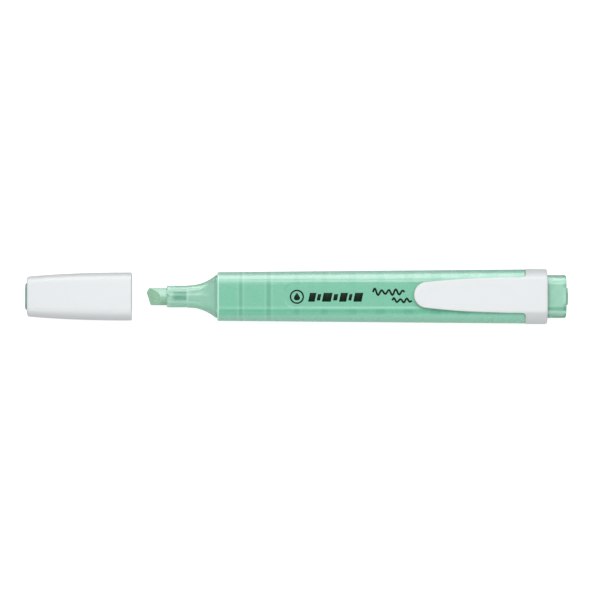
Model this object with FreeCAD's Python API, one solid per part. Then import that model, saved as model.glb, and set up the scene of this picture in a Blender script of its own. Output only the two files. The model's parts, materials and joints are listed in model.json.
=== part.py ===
import FreeCAD, Part

import math
import os

# A pocket highlighter, all sizes in millimetres.
#
# The pen lies flat with its clip up: +X runs from the nib to the end plug, +Z points up out of
# the clip and +Y to the side. The pieces are modelled about the pen's own axis, with X = 0 at the
# barrel's front shoulder, and are moved together at the very end, so that the origin lands under
# the middle of the whole object, on the surface that it rests on. The cap stands pulled off in
# front of the nib, in line with the pen.

# ---- Clearances ----
running_gap = 0.06          # between pieces that slide on each other
seat_gap = 0.02             # between pieces that are pushed together for good
home_gap = 0.05             # left between the cap's mouth and the shoulder when the cap is home
reservoir_end_gap = 0.25

# ---- Sections ----
flat_share = 0.55           # how much of a section's width is flat, between its two round sides

# ---- Barrel ----
barrel_length = 90.85       # shoulder to the clip's ring
barrel_front_half_width = 7.2
barrel_rear_half_width = 8.0
barrel_half_thickness = 6.1
barrel_wall = 1.05
barrel_edge_round = 0.35
spigot_length = 4.5         # the stepped rear end that carries the clip's ring
stop_ring_x = 6.95          # middle of the inner ring that stops the front section
ring_pitch = 8.23
first_ring_width = 0.8
ring_width_step = 0.33      # each inner ring is wider than the one before it

# ---- Flat panel sunk in the barrel's top ----
panel_start_x = 19.6
panel_half_width = 3.85
panel_depth = 0.35
panel_corner = 1.4

# ---- Front section ----
land_length = 0.5
flare_length = 8.3
flare_power = 2.2
neck_radius = 3.3
collar_length = 6.1
collar_radius = 3.2
collar_round = 0.25
front_wall = 0.9
skirt_wall = 0.8
vent_radius = 0.4
vent_count = 3

# ---- Nib ----
nib_radius = 2.6
nib_reach = 6.1             # tip to collar
nib_seat_length = 2.0       # how far the nib's thick part sits in the collar
nib_edge_slant = 18.0       # degrees from square, of the writing edge
nib_corner_slant = 31.0     # degrees from square, of the blunt corner beside it
nib_corner_size = 1.5
nib_wedge_half_angle = 36.0
nib_tail_radius = 1.9
nib_tail_in_reservoir = 5.0
nib_tail_point = 2.5

# ---- Ink reservoir ----
reservoir_radius = 4.25
film_thickness = 0.14

# ---- End plug ----
post_length = 5.6           # what stands out behind the ring, where the cap is stowed
plug_wall = 1.0
plug_seat_length = 7.8
plug_end_round = 0.5
boss_radius = 2.5
boss_height = 0.55

# ---- Clip ----
ring_length = 6.5
ring_half_width = 8.15
ring_wall = 0.85
ring_end_round = 0.55
crown_half_width = 4.9      # the flat that runs over the ring and the arm
crown_height = 1.9          # above the barrel's top
crown_round = 0.45
arch_fullness = 0.62        # 0.5 is a straight side, 0.71 a full round one
arm_thickness = 1.2
arm_length = 32.9           # ring to tip
arm_root_half_width = 5.45
arm_tip_radius = 3.8
arm_edge_round = 0.4
bead_radius = 1.5
bead_from_tip = 4.4
bead_gap = 0.1              # between the bead and the panel, at rest
bead_margin = 0.7           # between the bead's ends and the panel's sides
arm_lead_in = 0.5
arm_lead_in_angle = 30.0

# ---- Cap ----
cap_clear_of_nib = 4.3      # how far in front of the nib the cap stands
cap_length = 30.85
cap_step = 0.1              # how far the mouth lies inside the shoulder's outline
cap_wall = 0.7
cap_end_wall = 1.0
cap_end_half_width = 5.9
cap_end_half_thickness = 4.8
cap_bulge_power = 2.3
cap_end_round = 0.6
cap_mouth_round = 0.2
cap_rib_thickness = 0.8
cap_rib_angle = 40.0        # degrees from the width axis

# ---- Cap liner ----
liner_wall = 0.6
liner_floor = 0.9
liner_nib_room = 1.3
liner_fin_thickness = 0.8
liner_flange_thickness = 0.8
liner_flange_reach = 0.45
button_half_width = 3.9
button_half_thickness = 3.2
button_height = 0.5
button_round = 0.2

FLARE_STATIONS = 7
CAP_STATIONS = 6
REACH = 60.0                # cutting tools run past the pieces by this much


# ---------------------------------------------------------------- building blocks
def vec(x, y, z):
    return FreeCAD.Vector(x, y, z)


def oval_wire(x, half_width, half_thickness, flat):
    """A section across the axis: flat top and bottom, joined by a half ellipse on each side."""
    top_left, top_right = vec(x, -flat, half_thickness), vec(x, flat, half_thickness)
    low_left, low_right = vec(x, -flat, -half_thickness), vec(x, flat, -half_thickness)
    right = Part.Ellipse(top_right, vec(x, half_width, 0), vec(x, flat, 0))
    left = Part.Ellipse(low_left, vec(x, -half_width, 0), vec(x, -flat, 0))
    return Part.Wire([
        Part.makeLine(top_left, top_right),
        Part.ArcOfEllipse(right, 0, math.pi).toShape(),
        Part.makeLine(low_right, low_left),
        Part.ArcOfEllipse(left, 0, math.pi).toShape(),
    ])


def oval_solid(*stations, ruled=True):
    """A solid through stations, each (x, half width, half thickness, half width of the flat)."""
    return Part.makeLoft([oval_wire(*station) for station in stations], True, ruled)


def oval_prism(x0, x1, half_width, half_thickness, inset=0.0):
    """A straight stretch of one section, drawn in by inset all round."""
    size = (half_width - inset, half_thickness - inset, half_width * flat_share)
    return oval_solid((x0, *size), (x1, *size))


def rod(x0, x1, radius, z=0.0):
    return Part.makeCylinder(radius, x1 - x0, vec(x0, 0, z), vec(1, 0, 0))


def bar(x, z, radius, half_length):
    """A round bar across the pen."""
    return Part.makeCylinder(radius, 2 * half_length, vec(x, -half_length, z), vec(0, 1, 0))


def block(x0, x1, y0, y1, z0, z1):
    return Part.makeBox(x1 - x0, y1 - y0, z1 - z0, vec(x0, y0, z0))


def turned(shape, degrees):
    """A copy turned about the pen's axis."""
    copy = shape.copy()
    copy.rotate(vec(0, 0, 0), vec(1, 0, 0), degrees)
    return copy


def rounded_end(shape, x, radius):
    """Rounds the outermost loop of edges that lies in the plane at x."""
    faces = [f for f in shape.Faces if abs(f.BoundBox.XMin - x) < 1e-4 and abs(f.BoundBox.XMax - x) < 1e-4]
    rim = max(faces, key=lambda f: f.BoundBox.DiagonalLength).OuterWire
    return shape.makeFillet(radius, rim.Edges)


# ---------------------------------------------------------------- shared places and sizes
def barrel_half_width(x):
    return barrel_front_half_width + x / barrel_length * (barrel_rear_half_width - barrel_front_half_width)


def barrel_station(x, inset=0.0):
    """The barrel's section at x, drawn in by inset. Its flats keep their width, and its sides swell."""
    flat = barrel_front_half_width * flat_share
    return x, barrel_half_width(x) - inset, barrel_half_thickness - inset, flat


neck_x = -land_length - flare_length
collar_front_x = neck_x - collar_length
nib_tip_x = collar_front_x - nib_reach
nib_seat_end_x = collar_front_x + nib_seat_length

stop_ring_front_x = stop_ring_x - first_ring_width / 2
stop_ring_rear_x = stop_ring_x + first_ring_width / 2
skirt_end_x = stop_ring_front_x - seat_gap
reservoir_front_x = stop_ring_rear_x + reservoir_end_gap
tail_end_x = reservoir_front_x + nib_tail_in_reservoir
film_radius = reservoir_radius + seat_gap + film_thickness
reservoir_bore_radius = film_radius + running_gap

ring_front_x = barrel_length
barrel_end_x = ring_front_x + spigot_length
ring_end_x = ring_front_x + ring_length
post_end_x = ring_end_x + post_length
plug_seat_x = barrel_end_x - plug_seat_length
reservoir_rear_x = plug_seat_x - reservoir_end_gap

mouth_half_width = barrel_front_half_width - cap_step
mouth_half_thickness = barrel_half_thickness - cap_step
post_half_width = mouth_half_width - cap_wall - running_gap
post_half_thickness = mouth_half_thickness - cap_wall - running_gap
spigot_half_width = ring_half_width - ring_wall - seat_gap
spigot_half_thickness = barrel_half_thickness - ring_wall - seat_gap
seat_half_width = min(post_half_width, spigot_half_width - plug_wall)
seat_half_thickness = min(post_half_thickness, spigot_half_thickness) - plug_wall

clip_top = barrel_half_thickness + crown_height
hinge_x = ring_front_x
hinge_z = clip_top - arm_thickness / 2
arm_underside = clip_top - arm_thickness
arm_tip_x = ring_front_x - arm_length

cap_mouth_x = nib_tip_x - cap_clear_of_nib
cap_end_x = cap_mouth_x - cap_length
cap_travel = -cap_mouth_x - home_gap
cap_inside_x = cap_end_x + cap_end_wall
liner_radius = collar_radius + running_gap
liner_outer_radius = liner_radius + liner_wall
liner_mouth_x = neck_x - home_gap - cap_travel
liner_floor_x = nib_tip_x - liner_nib_room - cap_travel
liner_back_x = liner_floor_x - liner_floor
flange_x = cap_inside_x + seat_gap

object_start_x = cap_end_x - button_height
object_end_x = post_end_x + boss_height


# ---------------------------------------------------------------- barrel
def ring_spans():
    """Start and end of each inner ring, from the stop ring back to the plug's seat."""
    spans = []
    middle, width = stop_ring_x, first_ring_width
    while middle + ring_pitch / 2 < plug_seat_x:
        spans.append((middle - width / 2, middle + width / 2))
        middle, width = middle + ring_pitch, width + ring_width_step
    return spans


def panel_cutter():
    """The slab that sinks the flat panel; its two front corners are round."""
    floor = barrel_half_thickness - panel_depth
    slab = block(panel_start_x, barrel_end_x, -panel_half_width, panel_half_width, floor, floor + REACH)
    corners = [e for e in slab.Edges if e.BoundBox.XMax < panel_start_x + 1 and e.BoundBox.YLength < 1]
    return slab.makeFillet(panel_corner, corners)


def barrel():
    body = oval_solid(barrel_station(0), barrel_station(barrel_length))
    body = rounded_end(body, 0, barrel_edge_round).cut(panel_cutter())
    step_x = ring_front_x - spigot_length
    body = body.fuse(oval_prism(step_x, barrel_end_x, spigot_half_width, spigot_half_thickness))
    starts = [0] + [end for _, end in ring_spans()]
    ends = [start for start, _ in ring_spans()] + [plug_seat_x - plug_wall]
    for start, end in zip(starts, ends):
        body = body.cut(oval_solid(barrel_station(start, barrel_wall), barrel_station(end, barrel_wall)))
    body = body.cut(rod(stop_ring_front_x, plug_seat_x, reservoir_bore_radius))
    return body.cut(oval_prism(plug_seat_x, barrel_end_x, seat_half_width, seat_half_thickness))


# ---------------------------------------------------------------- front section
def flare_station(share, inset):
    """The flare grows from a round neck to the oval land, slowly at first."""
    growth = share ** flare_power
    flat = seat_gap + growth * (post_half_width * flat_share - seat_gap)
    return (
        neck_x + share * flare_length,
        neck_radius + growth * (post_half_width - neck_radius) - inset,
        neck_radius + seat_gap + growth * (post_half_thickness - neck_radius - seat_gap) - inset,
        flat,
    )


def flare(inset):
    shares = [i / (FLARE_STATIONS - 1) for i in range(FLARE_STATIONS)]
    return oval_solid(*[flare_station(share, inset) for share in shares], ruled=False)


def front_section():
    collar = rounded_end(rod(collar_front_x, neck_x, collar_radius), collar_front_x, collar_round)
    land = oval_prism(-land_length, -seat_gap, post_half_width, post_half_thickness)
    skirt_outside = barrel_wall + seat_gap
    skirt = oval_solid(barrel_station(-seat_gap, skirt_outside), barrel_station(skirt_end_x, skirt_outside))
    body = collar.fuse(flare(0)).fuse(land).fuse(skirt)
    hollow_inset = skirt_outside + skirt_wall
    hollow = oval_solid(barrel_station(-land_length, hollow_inset), barrel_station(skirt_end_x, hollow_inset))
    body = body.cut(flare(front_wall)).cut(hollow).cut(rod(collar_front_x, neck_x, nib_radius + seat_gap))
    vent = rod(collar_front_x, neck_x, vent_radius, z=nib_radius)
    for i in range(vent_count):
        body = body.cut(turned(vent, 360 * i / vent_count))
    return body


# ---------------------------------------------------------------- nib and reservoir
def nib_tail(gap):
    """The nib's thin rear end, grown by a gap to make the hole that it fits."""
    radius = nib_tail_radius + gap
    point_x = tail_end_x - nib_tail_point
    point = Part.makeCone(radius, radius / 3, nib_tail_point + gap, vec(point_x, 0, 0), vec(1, 0, 0))
    return rod(nib_seat_end_x - nib_tail_radius, point_x, radius).fuse(point)


def edge_cutter(slant, rise):
    """The half space above one face of the chisel, whose edge runs through the nib's foremost point."""
    tool = block(-REACH, REACH, -REACH, REACH, 0, REACH)
    tool.rotate(vec(0, 0, 0), vec(0, 1, 0), -rise)
    tool.rotate(vec(0, 0, 0), vec(0, 0, 1), slant)
    tool.translate(vec(nib_tip_x, nib_radius - nib_corner_size, 0))
    return tool


def nib():
    body = rod(nib_tip_x, nib_seat_end_x, nib_radius)
    wedge = edge_cutter(nib_edge_slant, nib_wedge_half_angle)
    body = body.cut(wedge).cut(wedge.mirror(vec(0, 0, 0), vec(0, 0, 1)))
    corner = block(-REACH, 0, -REACH, REACH, -REACH, REACH)
    corner.rotate(vec(0, 0, 0), vec(0, 0, 1), -nib_corner_slant)
    corner.translate(vec(nib_tip_x, nib_radius - nib_corner_size, 0))
    return body.cut(corner).fuse(nib_tail(0))


def reservoir_core():
    return rod(reservoir_front_x, reservoir_rear_x, reservoir_radius).cut(nib_tail(seat_gap))


def reservoir_film():
    sleeve = rod(reservoir_front_x, reservoir_rear_x, film_radius)
    return sleeve.cut(rod(reservoir_front_x, reservoir_rear_x, reservoir_radius + seat_gap))


# ---------------------------------------------------------------- end plug
def end_plug():
    front_x = plug_seat_x + seat_gap
    shoulder_x = barrel_end_x + seat_gap
    seat = oval_prism(front_x, shoulder_x, seat_half_width, seat_half_thickness, seat_gap)
    post = oval_prism(shoulder_x, post_end_x, post_half_width, post_half_thickness)
    post = rounded_end(post, post_end_x, plug_end_round)
    boss = rod(post_end_x - plug_wall, object_end_x, boss_radius)
    boss = rounded_end(boss, object_end_x, boss_height / 3)
    hollow = oval_prism(front_x, post_end_x - plug_wall, seat_half_width, seat_half_thickness, plug_wall)
    return seat.fuse(post).fuse(boss).cut(hollow)


# ---------------------------------------------------------------- clip
def arched_wire(x, half_width, top, crown):
    """The clip's outer section: a flat crown, arched sides, and an underside like the barrel's."""
    flat = half_width * flat_share
    base = barrel_half_thickness
    left, right = vec(x, -half_width, 0), vec(x, half_width, 0)
    crown_left, crown_right = vec(x, -crown, top), vec(x, crown, top)
    low_left, low_right = vec(x, -flat, -base), vec(x, flat, -base)
    right_curve = Part.Ellipse(vec(x, flat, -base), right, vec(x, flat, 0))
    left_curve = Part.Ellipse(vec(x, -flat, -base), left, vec(x, -flat, 0))
    shoulder_y = crown + (half_width - crown) * arch_fullness
    shoulder_z = top * arch_fullness
    return Part.Wire([
        Part.makeLine(crown_left, crown_right),
        Part.Arc(crown_right, vec(x, shoulder_y, shoulder_z), right).toShape(),
        Part.ArcOfEllipse(right_curve, 0, math.pi / 2).toShape(),
        Part.makeLine(low_left, low_right),
        Part.ArcOfEllipse(left_curve, 0, math.pi / 2).toShape(),
        Part.Arc(left, vec(x, -shoulder_y, shoulder_z), crown_left).toShape(),
    ])


def envelope(x0, x1):
    """The clip's outer shape between two places, with its crown's two edges rounded."""
    ends = [arched_wire(x, ring_half_width, clip_top, crown_half_width) for x in (x0, x1)]
    solid = Part.makeLoft(ends, True, True)
    edges = [e for e in solid.Edges if e.BoundBox.ZMin > clip_top - 1e-6 and e.BoundBox.YLength < 1e-6]
    return solid.makeFillet(crown_round, edges)


def clip_ring():
    outside = rounded_end(envelope(ring_front_x, ring_end_x), ring_end_x, ring_end_round)
    bore_end_x = barrel_end_x + seat_gap
    bore = oval_prism(ring_front_x, bore_end_x, spigot_half_width, spigot_half_thickness, -seat_gap)
    lip = oval_prism(barrel_end_x, ring_end_x, post_half_width, post_half_thickness, -seat_gap)
    knuckle_seat = bar(hinge_x, hinge_z, arm_thickness / 2 + running_gap, REACH)
    return outside.cut(bore).cut(lip).cut(knuckle_seat)


def arm_outline():
    """The arm seen from above: a round tip whose sides run back to the root in long arcs."""
    centre_x = arm_tip_x + arm_tip_radius
    run = hinge_x - centre_x
    spread = arm_root_half_width - arm_tip_radius
    side_radius = (run ** 2 + arm_root_half_width ** 2 - arm_tip_radius ** 2) / (2 * spread)
    side_centre_y = arm_root_half_width - side_radius
    turn = math.atan2(-side_centre_y, run)
    touch_x = centre_x - arm_tip_radius * math.cos(turn)
    touch_y = arm_tip_radius * math.sin(turn)
    middle_x = (touch_x + hinge_x) / 2
    middle_y = side_centre_y + math.sqrt(side_radius ** 2 - (hinge_x - middle_x) ** 2)
    root_x = hinge_x + arm_thickness

    def at(x, y):
        return vec(x, y, 0)

    return Part.Wire([
        Part.Arc(at(touch_x, -touch_y), at(arm_tip_x, 0), at(touch_x, touch_y)).toShape(),
        Part.Arc(at(touch_x, touch_y), at(middle_x, middle_y), at(hinge_x, arm_root_half_width)).toShape(),
        Part.makeLine(at(hinge_x, arm_root_half_width), at(root_x, arm_root_half_width)),
        Part.makeLine(at(root_x, arm_root_half_width), at(root_x, -arm_root_half_width)),
        Part.makeLine(at(root_x, -arm_root_half_width), at(hinge_x, -arm_root_half_width)),
        Part.Arc(at(hinge_x, -arm_root_half_width), at(middle_x, -middle_y), at(touch_x, -touch_y)).toShape(),
    ])


def clip_arm():
    slab = block(arm_tip_x - 1, hinge_x, -REACH, REACH, arm_underside, clip_top)
    knuckle = bar(hinge_x, hinge_z, arm_thickness / 2, crown_half_width)
    arm = Part.Face(arm_outline()).extrude(vec(0, 0, REACH)).common(slab)
    rim = [e for e in arm.Edges if e.BoundBox.ZMin > clip_top - 1e-5 and e.BoundBox.XMin < hinge_x - 1]
    arm = arm.makeFillet(arm_edge_round, rim).common(envelope(arm_tip_x - 1, hinge_x + 1))
    lead_in = block(-REACH, REACH, -REACH, REACH, -REACH, 0)
    lead_in.rotate(vec(0, 0, 0), vec(0, 1, 0), arm_lead_in_angle)
    lead_in.translate(vec(arm_tip_x, 0, arm_underside + arm_lead_in))
    bead_low = barrel_half_thickness - panel_depth + bead_gap
    bead = bar(arm_tip_x + bead_from_tip, bead_low + bead_radius, bead_radius, panel_half_width - bead_margin)
    bead = bead.common(slab.fuse(block(arm_tip_x, hinge_x, -REACH, REACH, 0, arm_underside)))
    return arm.cut(lead_in).fuse(bead).fuse(knuckle)


# ---------------------------------------------------------------- cap
def cap_station(share, inset):
    """The cap swells from its closed end to its mouth, fast and then slowly."""
    growth = 1 - (1 - share) ** cap_bulge_power
    half_width = cap_end_half_width + growth * (mouth_half_width - cap_end_half_width)
    half_thickness = cap_end_half_thickness + growth * (mouth_half_thickness - cap_end_half_thickness)
    return cap_end_x + share * cap_length, half_width - inset, half_thickness - inset, half_width * flat_share


def cap_solid(inset):
    shares = [i / (CAP_STATIONS - 1) for i in range(CAP_STATIONS)]
    return oval_solid(*[cap_station(share, inset) for share in shares], ruled=False)


def cap_shell():
    outside = rounded_end(cap_solid(0), cap_end_x, cap_end_round)
    outside = rounded_end(outside, cap_mouth_x, cap_mouth_round)
    inside = cap_solid(cap_wall).common(block(cap_inside_x, cap_mouth_x, -REACH, REACH, -REACH, REACH))
    hole = oval_prism(cap_end_x, cap_inside_x, button_half_width, button_half_thickness)
    ribs_end_x = (liner_floor_x + liner_mouth_x) / 2
    half_rib = cap_rib_thickness / 2
    rib = block(cap_inside_x, ribs_end_x, -REACH, REACH, -half_rib, half_rib)
    ribs = turned(rib, cap_rib_angle).fuse(turned(rib, -cap_rib_angle)).common(cap_solid(cap_wall / 2))
    ribs = ribs.cut(rod(cap_end_x, cap_mouth_x, liner_outer_radius + seat_gap))
    return outside.cut(inside).cut(hole).fuse(ribs)


def cap_liner():
    cup = rod(liner_back_x, liner_mouth_x, liner_outer_radius)
    cup = cup.cut(rod(liner_floor_x, liner_mouth_x, liner_radius))
    flange_end_x = flange_x + liner_flange_thickness
    flange = oval_prism(flange_x, flange_end_x, button_half_width, button_half_thickness, -liner_flange_reach)
    flange = flange.common(rod(flange_x, flange_end_x, liner_outer_radius))
    button = oval_prism(object_start_x, flange_x, button_half_width, button_half_thickness, seat_gap)
    button = rounded_end(button, object_start_x, button_round)
    half_fin = liner_fin_thickness / 2
    fin = block(flange_x, liner_back_x, -button_half_thickness, button_half_thickness, -half_fin, half_fin)
    fins = fin.fuse(turned(fin, 90))
    return cup.fuse(fins).fuse(flange).fuse(button)


# ---------------------------------------------------------------- all the pieces
def build():
    pieces = {
        "barrel": barrel(),
        "front_section": front_section(),
        "nib": nib(),
        "reservoir_core": reservoir_core(),
        "reservoir_film": reservoir_film(),
        "end_plug": end_plug(),
        "clip_ring": clip_ring(),
        "clip_arm": clip_arm(),
        "cap_shell": cap_shell(),
        "cap_liner": cap_liner(),
    }
    home = vec(-(object_start_x + object_end_x) / 2, 0, barrel_half_thickness)
    for shape in pieces.values():
        shape.translate(home)
    return pieces


def main():
    os.makedirs("parts", exist_ok=True)
    for name, shape in build().items():
        shape = shape.removeSplitter()
        box = shape.BoundBox
        print(f"{name}: {len(shape.Solids)} solid, {shape.Volume:.1f} mm3, valid {shape.isValid()},"
              f" x {box.XMin:.2f} to {box.XMax:.2f}, y {box.YMin:.2f} to {box.YMax:.2f},"
              f" z {box.ZMin:.2f} to {box.ZMax:.2f}")
        shape.exportStep(f"parts/{name}.step")


main()
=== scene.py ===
import json
import math

import bmesh
import bpy
from bpy.props import FloatProperty, FloatVectorProperty, IntProperty, PointerProperty
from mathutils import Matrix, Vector, noise


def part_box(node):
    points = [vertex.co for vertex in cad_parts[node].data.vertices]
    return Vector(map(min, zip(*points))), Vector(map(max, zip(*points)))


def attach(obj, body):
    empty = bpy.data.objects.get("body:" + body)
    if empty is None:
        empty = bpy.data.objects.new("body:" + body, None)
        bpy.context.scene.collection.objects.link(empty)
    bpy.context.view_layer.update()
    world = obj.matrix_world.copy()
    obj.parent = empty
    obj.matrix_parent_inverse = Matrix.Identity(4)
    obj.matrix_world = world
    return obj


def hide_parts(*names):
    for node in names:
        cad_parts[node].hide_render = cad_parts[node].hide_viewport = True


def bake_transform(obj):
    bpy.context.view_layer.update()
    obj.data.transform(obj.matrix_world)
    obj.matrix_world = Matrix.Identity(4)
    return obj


bl_info = {
    "name": "Pocket Highlighter",
    "version": (1, 0, 0),
    "blender": (4, 5, 0),
    "location": "3D View > Sidebar > Highlighter",
    "description": "Builds a capped pocket highlighter round its engineering model",
    "category": "Object",
}

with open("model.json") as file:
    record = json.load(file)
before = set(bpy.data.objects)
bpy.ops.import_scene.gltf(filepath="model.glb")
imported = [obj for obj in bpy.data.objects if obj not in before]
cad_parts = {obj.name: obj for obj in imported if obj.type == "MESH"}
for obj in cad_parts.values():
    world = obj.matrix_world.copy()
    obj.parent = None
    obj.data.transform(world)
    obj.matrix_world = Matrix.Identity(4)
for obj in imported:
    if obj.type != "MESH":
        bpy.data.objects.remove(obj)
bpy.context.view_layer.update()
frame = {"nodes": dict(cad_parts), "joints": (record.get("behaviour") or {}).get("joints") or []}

MM = 0.001

# Places and sizes that the frame gives.
BARREL_LOW, BARREL_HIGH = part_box("barrel")
FRONT_LOW, FRONT_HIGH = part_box("front_section")
NIB_LOW, NIB_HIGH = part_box("nib")
PLUG_LOW, PLUG_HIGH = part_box("end_plug")
RING_LOW, RING_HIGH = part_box("clip_ring")
ARM_LOW, ARM_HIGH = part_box("clip_arm")
CAP_LOW, CAP_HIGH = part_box("cap_shell")
LINER_LOW, LINER_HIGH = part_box("cap_liner")
CLIP_JOINT = next(joint for joint in frame["joints"] if joint["name"] == "clip_flex")

SHOULDER_X = BARREL_LOW.x
RING_X = RING_LOW.x
AXIS_Z = (BARREL_LOW.z + BARREL_HIGH.z) / 2
HALF_THICKNESS = BARREL_HIGH.z - AXIS_Z
HINGE_X = CLIP_JOINT["pos_m"][0]
CROWN_Z = RING_HIGH.z - AXIS_Z

FULL_TURN = 2 * math.pi
QUARTER_TURN = math.pi / 2


# ---------------------------------------------------------------- settings
class HighlighterSizes(bpy.types.PropertyGroup):
    """Sizes that the frame's boxes don't give."""

    front_half_width: FloatProperty(
        name="Front Half Width", description="Half the barrel's width at its shoulder",
        default=7.2 * MM, unit="LENGTH")
    rear_half_width: FloatProperty(
        name="Rear Half Width", description="Half the barrel's width at the clip's ring",
        default=BARREL_HIGH.y, unit="LENGTH")
    flat_share: FloatProperty(
        name="Flat Share", description="How much of a section's width is flat",
        default=0.55, min=0.1, max=0.9, subtype="FACTOR")
    wall: FloatProperty(
        name="Barrel Wall", description="Thickness of the barrel's wall",
        default=1.05 * MM, unit="LENGTH")
    edge_round: FloatProperty(
        name="Edge Round", description="Radius of the barrel's front edge",
        default=0.35 * MM, unit="LENGTH")
    rib_start: FloatProperty(
        name="First Rib", description="Shoulder to the middle of the first inner ring",
        default=6.95 * MM, unit="LENGTH")
    rib_pitch: FloatProperty(
        name="Rib Pitch", description="Distance between the inner rings",
        default=8.23 * MM, unit="LENGTH")
    rib_width: FloatProperty(
        name="First Rib Width", description="Width of the first inner ring",
        default=0.8 * MM, unit="LENGTH")
    rib_growth: FloatProperty(
        name="Rib Growth", description="How much wider each inner ring is than the one before",
        default=0.33 * MM, unit="LENGTH")
    bore: FloatProperty(
        name="Rib Bore", description="Radius of the hole through the inner rings",
        default=4.47 * MM, unit="LENGTH")
    panel_start: FloatProperty(
        name="Panel Start", description="Shoulder to the front of the sunk panel",
        default=19.6 * MM, unit="LENGTH")
    panel_half_width: FloatProperty(
        name="Panel Half Width", description="Half the width of the sunk panel",
        default=3.85 * MM, unit="LENGTH")
    panel_depth: FloatProperty(
        name="Panel Depth", description="How deep the panel is sunk",
        default=0.06 * MM, unit="LENGTH")
    panel_slope: FloatProperty(
        name="Panel Slope", description="Width of the slope round the panel",
        default=0.5 * MM, unit="LENGTH")
    panel_corner: FloatProperty(
        name="Panel Corner", description="Radius of the panel's front corners",
        default=3.0 * MM, unit="LENGTH")
    neck_radius: FloatProperty(
        name="Neck Radius", description="Radius of the flare's narrow end",
        default=3.3 * MM, unit="LENGTH")
    collar_radius: FloatProperty(
        name="Collar Radius", description="Radius of the collar round the nib",
        default=3.2 * MM, unit="LENGTH")
    flare_length: FloatProperty(
        name="Flare Length", description="Length of the concave flare",
        default=8.3 * MM, unit="LENGTH")
    land_length: FloatProperty(
        name="Land Length", description="Length of the straight land that the cap fits",
        default=0.5 * MM, unit="LENGTH")
    cap_wall: FloatProperty(
        name="Cap Wall", description="Thickness of the cap's wall",
        default=0.7 * MM, unit="LENGTH")
    cap_end_half_width: FloatProperty(
        name="Cap End Half Width", description="Half the cap's width at its closed end",
        default=5.9 * MM, unit="LENGTH")
    cap_end_half_thickness: FloatProperty(
        name="Cap End Half Thickness", description="Half the cap's thickness at its closed end",
        default=4.8 * MM, unit="LENGTH")
    crown_half_width: FloatProperty(
        name="Crown Half Width", description="Half the width of the flat on top of the clip",
        default=4.9 * MM, unit="LENGTH")
    arm_thickness: FloatProperty(
        name="Arm Thickness", description="Thickness of the clip's arm",
        default=1.2 * MM, unit="LENGTH")
    arm_tip_radius: FloatProperty(
        name="Arm Tip Radius", description="Radius of the round tip of the arm",
        default=3.8 * MM, unit="LENGTH")
    arm_edge_round: FloatProperty(
        name="Arm Edge Round", description="Radius of the moulding's outer edges",
        default=0.4 * MM, unit="LENGTH")
    boss_radius: FloatProperty(
        name="Boss Radius", description="Radius of the boss on the end plug",
        default=2.5 * MM, unit="LENGTH")
    print_segments: IntProperty(
        name="Print Steps", description="Steps in each round stretch of the printed marks",
        default=24, min=6, max=64)


class HighlighterFinish(bpy.types.PropertyGroup):
    """Colours and surface settings."""

    mint: FloatVectorProperty(
        name="Mint", description="Colour of the tinted plastic",
        default=(0.17, 0.535, 0.36), subtype="COLOR", size=3, min=0, max=1)
    # Besides the thick plastic's own colour, this carries painted shade on the barrel's -Y corner and
    # painted shadows on the clear parts.
    mint_deep: FloatVectorProperty(
        name="Deep Mint", description="Colour of the tinted plastic where it is thick",
        default=(0.11, 0.41, 0.26), subtype="COLOR", size=3, min=0, max=1)
    # Besides the thin plastic's own colour, this carries the barrel's painted highlight and painted pale
    # strips.
    mint_pale: FloatVectorProperty(
        name="Pale Mint", description="Colour of the tinted plastic where it is thin",
        default=(0.42, 0.74, 0.60), subtype="COLOR", size=3, min=0, max=1)
    # Painted highlight colour: it lightens the barrel's front edge, the pale lines of the clear parts and
    # the lit side of the nib.
    mint_highlight: FloatVectorProperty(
        name="Edge Mint", description="Colour of the tinted plastic at a thin edge that glows",
        default=(0.62, 0.93, 0.80), subtype="COLOR", size=3, min=0, max=1)
    # Painted glow: an emission colour that the barrel shows on its -Y side and the clear parts show all
    # over, though neither is a lamp.
    mint_glow: FloatVectorProperty(
        name="Mint Glow", description="Light that the tinted plastic carries along inside its walls",
        default=(0.25, 0.85, 0.58), subtype="COLOR", size=3, min=0, max=1)
    clear_mint: FloatVectorProperty(
        name="Clear Mint", description="Colour of the clear plastic of the front section and the plug",
        default=(0.53, 0.84, 0.70), subtype="COLOR", size=3, min=0, max=1)
    white: FloatVectorProperty(
        name="White", description="Colour of the cap and the clip",
        default=(0.80, 0.828, 0.84), subtype="COLOR", size=3, min=0, max=1)
    liner: FloatVectorProperty(
        name="Liner", description="Colour of the cap's inner cup",
        default=(0.08, 0.43, 0.29), subtype="COLOR", size=3, min=0, max=1)
    felt: FloatVectorProperty(
        name="Felt", description="Colour of the inked nib",
        default=(0.43, 0.80, 0.54), subtype="COLOR", size=3, min=0, max=1)
    film: FloatVectorProperty(
        name="Film", description="Colour of the film round the reservoir where it is clearest",
        default=(0.8, 0.92, 0.88), subtype="COLOR", size=3, min=0, max=1)
    print_ink: FloatVectorProperty(
        name="Print", description="Colour of the printed marks",
        default=(0.006, 0.02, 0.012), subtype="COLOR", size=3, min=0, max=1)


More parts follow.
